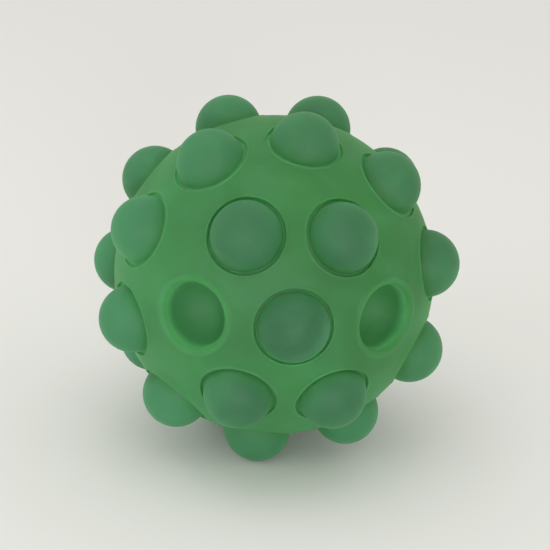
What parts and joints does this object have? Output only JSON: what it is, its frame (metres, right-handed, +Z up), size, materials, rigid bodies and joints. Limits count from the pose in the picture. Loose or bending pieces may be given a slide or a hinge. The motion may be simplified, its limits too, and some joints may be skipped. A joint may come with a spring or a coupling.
{
  "type": "fidget pop ball",
  "caption": "Hollow silicone squeeze ball covered in round pop bubbles, each standing in a narrow groove, with some pushed in as smooth bowls.",
  "frame": {"origin": "on the table, straight below the ball's centre", "axes": "+Z up, -Y towards the front pole, which lies between the two pushed-in bubbles, +X to the right seen from the front"},
  "size_m": [0.0616, 0.0644, 0.0612],
  "materials": {
    "silicone": "satin"
  },
  "bodies": {
    "root": {"ball_shell": "silicone"}
  },
  "joints": []
}
